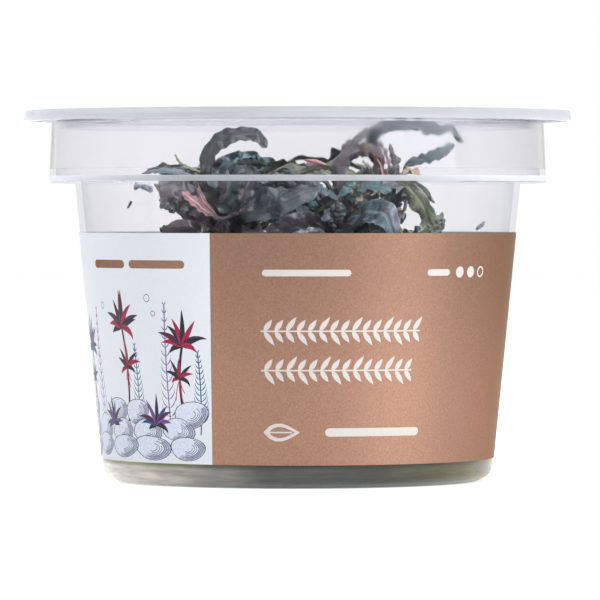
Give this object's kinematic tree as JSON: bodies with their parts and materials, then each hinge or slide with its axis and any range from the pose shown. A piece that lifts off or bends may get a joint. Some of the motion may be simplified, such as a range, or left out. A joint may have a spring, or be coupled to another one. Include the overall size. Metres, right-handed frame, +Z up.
{
  "type": "bucephalandra in a culture cup",
  "caption": "Water plant with narrow dark leaves on short stems, rooted in gel inside a clear lidded culture cup with a wrap label.",
  "frame": {"origin": "middle of the ring that the cup stands on, on the surface under it", "axes": "+Z up along the cup's axis, -Y the front with the label's printed side, +X to the right seen from the front"},
  "size_m": [0.095, 0.095, 0.064],
  "materials": {
    "clear_plastic": "clear, slightly milky, glossy",
    "label_film": "printed film, satin",
    "gel": "clear wet jelly",
    "stem": "woody, matte",
    "leaf_slate": "satin leaf, slate green",
    "leaf_teal": "satin leaf, dark teal",
    "leaf_olive": "satin leaf, olive green",
    "leaf_plum": "satin leaf, dull plum",
    "leaf_tan": "old leaf, tan"
  },
  "bodies": {
    "root": {"cup": "clear_plastic", "gel": "gel", "label": "label_film", "leaf_back_left_1": "leaf_slate", "leaf_back_left_2": "leaf_teal", "leaf_back_left_3": "leaf_olive", "leaf_back_left_4": "leaf_slate", "leaf_back_left_5": "leaf_teal", "leaf_back_left_6": "leaf_olive", "leaf_back_middle_1": "leaf_teal", "leaf_back_middle_2": "leaf_slate", "leaf_back_middle_3": "leaf_plum", "leaf_back_middle_4": "leaf_teal", "leaf_back_middle_5": "leaf_slate", "leaf_back_middle_6": "leaf_plum", "leaf_back_right_1": "leaf_olive", "leaf_back_right_2": "leaf_slate", "leaf_back_right_3": "leaf_teal", "leaf_back_right_4": "leaf_olive", "leaf_back_right_5": "leaf_slate", "leaf_back_right_6": "leaf_teal", "leaf_front_left_1": "leaf_slate", "leaf_front_left_2": "leaf_slate", "leaf_front_left_3": "leaf_slate", "leaf_front_left_4": "leaf_teal", "leaf_front_left_5": "leaf_teal", "leaf_front_left_6": "leaf_slate", "leaf_front_left_7": "leaf_plum", "leaf_front_middle_1": "leaf_plum", "leaf_front_middle_2": "leaf_olive", "leaf_front_middle_3": "leaf_tan", "leaf_front_middle_4": "leaf_slate", "leaf_front_middle_5": "leaf_slate", "leaf_front_middle_6": "leaf_plum", "leaf_front_middle_7": "leaf_slate", "leaf_front_middle_8": "leaf_teal", "leaf_low_left_1": "leaf_teal", "leaf_low_left_2": "leaf_plum", "leaf_low_left_3": "leaf_slate", "leaf_low_right_1": "leaf_slate", "leaf_low_right_2": "leaf_olive", "leaf_right_1": "leaf_slate", "leaf_right_2": "leaf_teal", "leaf_right_3": "leaf_slate", "leaf_right_4": "leaf_plum", "leaf_right_5": "leaf_tan", "leaf_right_6": "leaf_olive", "leaf_right_7": "leaf_slate", "leaf_right_8": "leaf_slate", "lid": "clear_plastic", "stem_back_left": "stem", "stem_back_middle": "stem", "stem_back_right": "stem", "stem_front_left": "stem", "stem_front_middle": "stem", "stem_low_left": "stem", "stem_low_right": "stem", "stem_right": "stem"}
  },
  "joints": []
}
